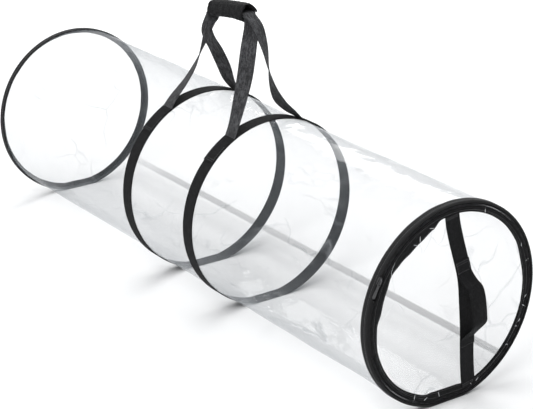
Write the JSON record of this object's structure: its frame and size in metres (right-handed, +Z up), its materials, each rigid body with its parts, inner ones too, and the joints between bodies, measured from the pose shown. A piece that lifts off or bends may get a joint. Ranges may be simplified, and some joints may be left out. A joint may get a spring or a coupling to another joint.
{
  "type": "gift wrap organizer",
  "caption": "Clear round bag on its side with a zipped end lid, webbing straps, carry handles joined in a padded grip, and a lid handle.",
  "frame": {"origin": "on the floor under the middle of the whole object, lid handle included", "axes": "+X along the case towards the zipped lid, +Z up, the carry handles on top"},
  "size_m": [1.079, 0.2998, 0.4681],
  "materials": {
    "clear_vinyl": "clear gloss, faintly creased",
    "black_fabric": "fine matte weave",
    "black_webbing": "ribbed matte webbing",
    "zip_nylon": "satin nylon coil",
    "slider_metal": "black enamel",
    "hook_and_loop": "brushed hook and loop"
  },
  "bodies": {
    "case": {"body_tube": "clear_vinyl", "tube_lap_seam": "clear_vinyl", "rear_window": "clear_vinyl", "rear_binding": "black_fabric", "front_binding": "black_fabric", "zip_tape_case": "black_fabric", "zip_coil_case": "zip_nylon", "zip_stop_upper": "zip_nylon", "zip_stop_lower": "zip_nylon", "lid_hinge_web": "black_fabric", "girth_strap_a": "black_webbing", "girth_strap_b": "black_webbing", "handle_tail_front_a": "black_webbing", "handle_tail_front_b": "black_webbing", "handle_tail_back_a": "black_webbing", "handle_tail_back_b": "black_webbing", "front_handle_web": "black_webbing", "back_handle_web": "black_webbing"},
    "lid": {"zip_tape_lid": "black_fabric", "zip_coil_lid": "zip_nylon", "lid_window": "clear_vinyl", "lid_border": "black_fabric", "lid_strap": "black_webbing", "lid_handle": "black_webbing"},
    "slider": {"zip_slider": "slider_metal"},
    "pull": {"zip_pull": "slider_metal"},
    "grip": {"grip_sleeve": "black_fabric", "hook_patch": "hook_and_loop"},
    "flap": {"grip_flap": "black_fabric", "loop_patch": "hook_and_loop"}
  },
  "joints": [
    {"name": "lid_hinge", "type": "hinge", "parent": "case", "child": "lid", "pos_m": [0.4952, -0.1457, 0.14724], "axis": [0, 0, -1], "range_deg": [0, 95]},
    {"name": "zip_travel", "type": "hinge", "parent": "case", "child": "slider", "pos_m": [0, 0, 0.14724], "axis": [-1, 0, 0], "range_deg": [0, 304]},
    {"name": "pull_swing", "type": "hinge", "parent": "slider", "child": "pull", "pos_m": [0.5005, -0.13032, 0.21654], "axis": [0, -0.8829, 0.4695], "range_deg": [0, 150]},
    {"name": "grip_lower", "type": "slide", "parent": "case", "child": "grip", "axis": [0, 0, -1], "range_m": [0, 0.11], "deforming": ["front_handle_web", "back_handle_web"]},
    {"name": "flap_hinge", "type": "hinge", "parent": "grip", "child": "flap", "pos_m": [-0.02309, -0.01407, 0.46037], "axis": [0.9903, 0, 0.1392], "range_deg": [0, 150]}
  ]
}
